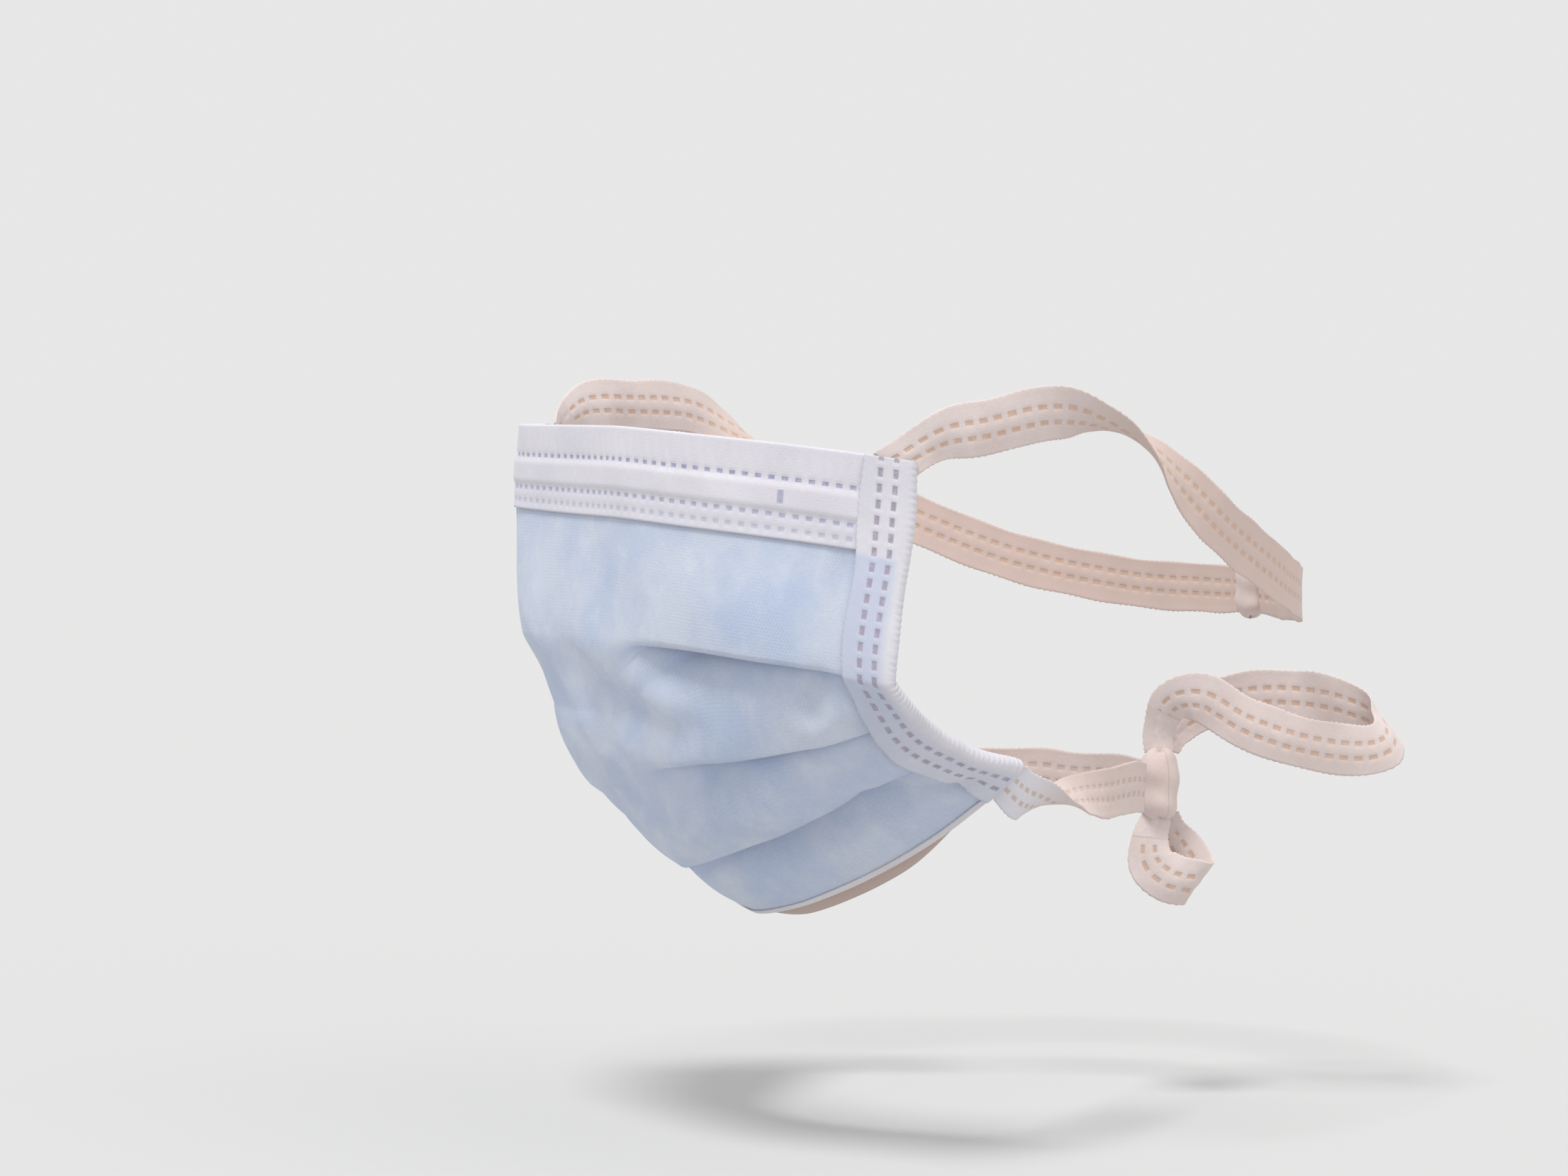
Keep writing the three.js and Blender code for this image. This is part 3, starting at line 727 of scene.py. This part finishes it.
def ribbon_frame(stations, squareness=0.7, step=0.5):
    """Middles, half widths, normals and distances along a tape through its stations."""
    stations = np.asarray(stations, float)
    rough = spline(stations, np.linspace(0, len(stations) - 1, 400))[:, :3]
    length = np.linalg.norm(np.diff(rough, axis=0), axis=1).sum()
    count = int(length / step)
    lengths = np.concatenate([[0], np.cumsum(np.linalg.norm(np.diff(rough, axis=0), axis=1))])
    even = np.interp(np.linspace(0, length, count), lengths, np.linspace(0, len(stations) - 1, 400))
    samples = spline(stations, even)
    middle = samples[:, :3]
    run = unit(np.gradient(middle, axis=0))
    half = samples[:, 3:6]
    width = np.linalg.norm(half, axis=1)
    half = half - squareness * (half * run).sum(axis=1)[:, None] * run
    half = unit(half)
    normal = unit(np.cross(run, half))
    return middle, half, width, normal, np.linspace(0, length, count)


def tape(name, stations, camber=0.35, phase=0.0, ends=(0.0, 0.0), fade=(6, 26)):
    """Folded tape: two layers joined along one edge, welded together by two rows of marks."""
    middle, half, width, normal, along = ribbon_frame(stations)
    t = np.linspace(-1, 1, 26)
    turn = np.radians(np.linspace(70, -70, 7))
    gap = 0.28
    share = np.concatenate([t[:-1], 1 + 0.04 * np.cos(turn), t[::-1][1:]])
    face = np.concatenate([np.full(25, 1.0), np.sin(turn), np.full(25, -1.0)])
    place = share * TAPE / 2
    pinch = weld_dent(along[:, None] + phase, place[None, :], TAPE_PITCH, 0, TAPE_ROWS, 0.16,
                      (1.25, 0.8))
    bulge = gap * (1 + 0.5 * np.cos(share * math.pi))[None, :] + pinch
    frill = 0.14 * np.sin(along * 6.7 + phase) * np.sin(along * 2.1) + 0.12 * np.sin(along * 0.33 + phase)
    reach = share[None, :] * (width[:, None] + frill[:, None] * np.abs(share[None, :]) ** 6)
    lift = camber * (1 - share ** 2)[None, :] + 0.12 * np.sin(along * 0.5 + phase)[:, None] * share[None, :]
    out = face[None, :] * bulge + lift
    points = middle[:, None, :] + half[:, None, :] * reach[..., None] + normal[:, None, :] * out[..., None]
    # Share of the material's second colour along the tape, from ends[0] to ends[1] over fade: painted shade
    # past the twist on the top ties, the paler start on the bottom ties.
    under = np.broadcast_to(mix(ends[0], ends[1], smooth((along - fade[0]) / fade[1]))[:, None], reach.shape)
    crumpled = np.broadcast_to((width < CRUMPLED * TAPE / 2)[:, None], reach.shape)
    cloth = cloth_places(along[:, None] + phase, place[None, :] + CRUMPLED_SHIFT * crumpled, under)
    return cloth_mesh(name, points, cloth, TAPE_PLY), along[-1]


def knot(name, at, half):
    """A tape wound round the tied ends: a rounded wrap with soft creases."""
    columns, rows = 72, 40
    angle = np.linspace(0, 2 * math.pi, columns)[:, None]
    height = np.linspace(-1, 1, rows)[None, :]
    waist = np.sqrt(np.maximum(1 - np.abs(height) ** 5, 0.0))
    creases = 0.05 * np.sin(angle + height * 6.6) + 0.025 * np.sin(angle * 3 - height * 4)
    radius = waist * (1 + creases)
    x = at[0] + half[0] * radius * np.cos(angle)
    y = at[1] + half[1] * radius * np.sin(angle)
    z = at[2] + half[2] * height * (1 + 0.06 * np.sin(angle * 3))
    points = np.stack(np.broadcast_arrays(x, y, z), axis=-1)
    # The knot takes 0.4 of the tie's darker tone, a painted shade.
    cloth = cloth_places(angle * 5, CRUMPLED_SHIFT + height * TAPE / 2 + 0 * angle, 0.4)
    return cloth_mesh(name, points, cloth, TAPE_PLY)


# ---- Building the pieces ----

def dress(piece, node, material):
    piece.data.materials.append(material)
    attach(piece, "root")
    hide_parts(node)
    return piece


def build():
    # The cover's second colour is a deeper blue, painted as shade under the pleat lips.
    blue = nonwoven("blue_cover", srgb(196, 203, 217), srgb(178, 191, 214), under=srgb(138, 160, 202))
    # The lining's second colour, a warm brown, is painted warm shade on its lowest strip.
    lining_white = nonwoven("white_lining", srgb(214, 211, 214), srgb(206, 202, 206), 40,
                            under=srgb(188, 168, 160), bond_depth=0.3)
    band_white = nonwoven("white_band", srgb(215, 212, 219), srgb(208, 205, 213), 40,
                          under=srgb(190, 197, 212), welds=band_welds,
                          weld_colour=srgb(150, 152, 182), bond_depth=0.25)
    tape_white = nonwoven("white_binding", srgb(213, 211, 217), srgb(205, 203, 211), 40,
                          under=srgb(168, 181, 207), welds=tape_welds,
                          weld_colour=srgb(158, 150, 166), bond_depth=0.2)
    # Bottom ties: the base colour is the tie's darker, warmer tone, painted as shade; the second colour is
    # the paler start by the binding.
    tie_shaded = nonwoven("tie_in_painted_shade", srgb(214, 197, 191), srgb(206, 187, 180), 34,
                        under=srgb(212, 210, 217), welds=tape_welds,
                        weld_colour=srgb(196, 176, 166), bond_depth=0.2)
    # Top ties, loops and knots: the base colour is the tie's lit tone; the second colour is a darker warm
    # tone, painted as shade.
    tie_lit_and_shaded = nonwoven("tie_lit_and_painted_shade", srgb(219, 205, 201), srgb(211, 195, 190), 34,
                        under=srgb(205, 184, 175), welds=tape_welds,
                        weld_colour=srgb(200, 170, 152), bond_depth=0.2)

    cover = dress(outer_cover(), "outer_cover", blue)
    lining = dress(inner_lining(), "inner_lining", lining_white)
    band = dress(top_band(), "top_band", band_white)
    hem = dress(bottom_hem(), "bottom_hem", lining_white)

    for name, side in (("left", 1), ("right", -1)):
        bound = dress(binding(f"mask_{name}_binding", side), f"{name}_binding", tape_white)
        top = tie_start(side, TOP_START, True)
        bottom = tie_start(side, BOTTOM_START, False)
        if side > 0:
            top_stations = np.vstack([top, route(TOP_TIE)])
            bottom_stations = np.vstack([bottom, route(BOTTOM_TIE)])
        else:
            near_top = tie_start(1, TOP_START, True)
            top_stations = far_tie(top, near_top, route(TOP_TIE), FAR_DROOP)
            near_bottom = tie_start(1, BOTTOM_START, False)
            bottom_stations = far_tie(bottom, near_bottom, route(BOTTOM_TIE))
            bottom_stations = np.vstack([bottom_stations, route(FAR_BOTTOM_END)])
        # The top tie turns to its painted shade tone past its twist; the bottom tie starts pale and turns to
        # its painted shade tone.
        for place, stations, ends, fade, white in (
                ("top", top_stations, (0.0, 1.0), (45, 24), tie_lit_and_shaded),
                ("bottom", bottom_stations, (1.0, 0.0), (6, 26), tie_shaded)):
            made, length = tape(f"mask_{name}_{place}_tie", stations, phase=1.4, ends=ends, fade=fade)
            dress(made, f"{name}_{place}_tie", white)
    for name, stations, phase in (("bow_loop_back", LOOP_BACK, 0.7), ("bow_loop_down", LOOP_DOWN, 2.1)):
        made, length = tape(f"mask_{name}", route(stations, BOTTOM_KNOT[0]), phase=phase)
        dress(made, name, tie_lit_and_shaded)
    dress(knot("mask_top_knot", *TOP_KNOT), "top_knot", tie_lit_and_shaded)
    dress(knot("mask_bottom_knot", *BOTTOM_KNOT), "bottom_knot", tie_lit_and_shaded)


# ---- Stage, lights and camera ----

CAMERA = {"azimuth": 60, "elevation": 3, "distance": 0.980, "aside": 0.04115, "below": 0.03752}
FOCAL_LENGTH = 94.58
SENSOR_WIDTH = 36


def camera():
    azimuth, elevation = math.radians(CAMERA["azimuth"]), math.radians(CAMERA["elevation"])
    right = np.array([math.cos(azimuth), math.sin(azimuth), 0])
    back = np.array([math.sin(azimuth) * math.cos(elevation),
                     -math.cos(azimuth) * math.cos(elevation), math.sin(elevation)])
    up = np.cross(back, right)
    data = bpy.data.cameras.new("camera")
    data.lens = FOCAL_LENGTH
    data.sensor_width = SENSOR_WIDTH
    data.clip_start, data.clip_end = 0.01, 100
    made = bpy.data.objects.new("camera", data)
    made.location = back * CAMERA["distance"] + right * CAMERA["aside"] - up * CAMERA["below"]
    made.rotation_euler = (math.radians(90 - CAMERA["elevation"]), 0, azimuth)
    bpy.context.scene.collection.objects.link(made)
    bpy.context.scene.camera = made


def sun(name, azimuth, elevation, strength, spread, colour=(1, 1, 1)):
    """Even light from one side of the sky, softened by its spread; angles in degrees."""
    data = bpy.data.lights.new(name, "SUN")
    data.energy = strength
    data.angle = math.radians(spread)
    data.color = colour
    made = bpy.data.objects.new(name, data)
    made.rotation_euler = (math.radians(90 - elevation), 0, math.radians(azimuth))
    bpy.context.scene.collection.objects.link(made)
    return strength * math.sin(math.radians(elevation)) / math.pi


def stage(lowest):
    """A wide pale floor a little under the mask, in soft light from above and all round.

    The floor's colour is chosen so that, lit, it is as bright as the backdrop.
    """
    size, drop = 60.0, 0.05
    surround = 0.60
    lit = surround
    lit += sun("key", 30, 68, 1.45, 18)
    lit += sun("side", 110, 35, 0.3, 60, (1.0, 0.97, 0.95))
    mesh = bpy.data.meshes.new("floor")
    corners = [(x * size, y * size, lowest - drop) for x, y in ((-1, -1), (1, -1), (1, 1), (-1, 1))]
    mesh.from_pydata(corners, [], [(0, 1, 2, 3)])
    floor = bpy.data.objects.new("floor", mesh)
    bpy.context.scene.collection.objects.link(floor)
    n = Nodes("pale_floor")
    surface = n.node("ShaderNodeBsdfDiffuse")
    surface.inputs["Color"].default_value = (*[surround / lit] * 3, 1)
    output = n.node("ShaderNodeOutputMaterial")
    n.tree.links.new(surface.outputs[0], output.inputs["Surface"])
    mesh.materials.append(n.material)
    world = bpy.data.worlds.new("studio")
    world.use_nodes = True
    background = world.node_tree.nodes["Background"]
    background.inputs["Color"].default_value = (1, 1, 1, 1)
    background.inputs["Strength"].default_value = surround
    bpy.context.scene.world = world
    bpy.context.scene.view_settings.view_transform = "Standard"
    bpy.context.scene.view_settings.exposure = 0.42


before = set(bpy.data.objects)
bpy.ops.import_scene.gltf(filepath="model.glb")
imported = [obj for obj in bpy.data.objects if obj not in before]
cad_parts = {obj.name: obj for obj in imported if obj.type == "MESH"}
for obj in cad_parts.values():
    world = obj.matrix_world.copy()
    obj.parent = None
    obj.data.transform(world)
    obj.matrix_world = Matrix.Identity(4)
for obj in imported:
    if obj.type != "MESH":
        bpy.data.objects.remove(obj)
cad_box = [list(corner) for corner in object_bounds()]
camera()
stage(cad_box[0][2])
build()
